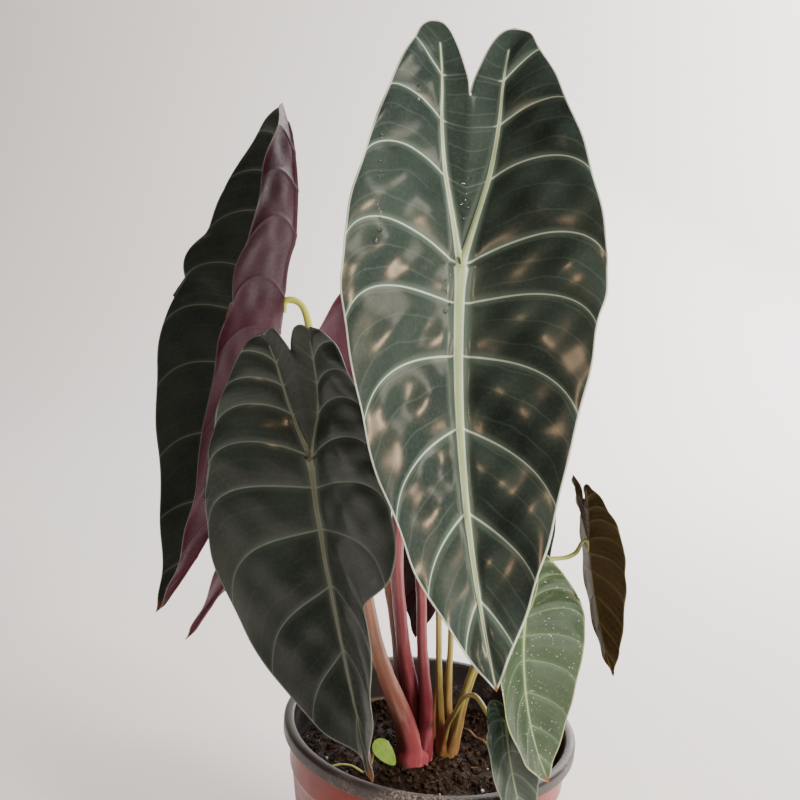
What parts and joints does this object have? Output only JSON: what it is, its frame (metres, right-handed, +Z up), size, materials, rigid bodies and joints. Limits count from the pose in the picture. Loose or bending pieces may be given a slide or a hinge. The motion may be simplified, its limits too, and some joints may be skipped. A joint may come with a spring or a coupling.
{
  "type": "potted alocasia",
  "caption": "Potted alocasia with long heart-shaped veined blades on red and yellow stalks, in soil in a tapered nursery pot.",
  "frame": {"origin": "centre of the pot's foot, on the surface it stands on", "axes": "+Z up along the pot's axis, -Y to the front that the large blade faces, +X to the right seen from the front"},
  "size_m": [0.2377, 0.2714, 0.4349],
  "materials": {
    "pot_shell": "satin",
    "potting_mix": "rough",
    "leaf_dark": "glossy",
    "leaf_purple_back": "satin",
    "leaf_young": "satin",
    "stalk_red": "satin",
    "stalk_yellow": "satin",
    "seedling": "satin",
    "twig": "rough"
  },
  "bodies": {
    "root": {"pot": "pot_shell", "soil": "potting_mix", "blade_front_large": "leaf_dark", "blade_front_left": "leaf_dark", "blade_back_left": "leaf_dark", "blade_over_rim": "leaf_dark", "blade_behind_front": "leaf_dark", "blade_back_middle": "leaf_purple_back", "blade_back_low": "leaf_purple_back", "blade_right_small": "leaf_purple_back", "blade_young_light": "leaf_young", "stalk_front_large": "stalk_red", "stalk_front_left": "stalk_red", "stalk_back_left": "stalk_red", "stalk_back_middle": "stalk_red", "stem_base": "stalk_red", "stalk_back_low": "stalk_yellow", "stalk_behind_front": "stalk_yellow", "stalk_right_small": "stalk_yellow", "stalk_young_light": "stalk_yellow", "stalk_over_rim": "stalk_yellow", "offset_base": "stalk_yellow", "new_shoot": "stalk_yellow", "seedling_front_leaf": "seedling", "seedling_left_leaf": "seedling", "seedling_front_stem": "seedling", "seedling_left_stem": "seedling", "twig": "twig"}
  },
  "joints": []
}
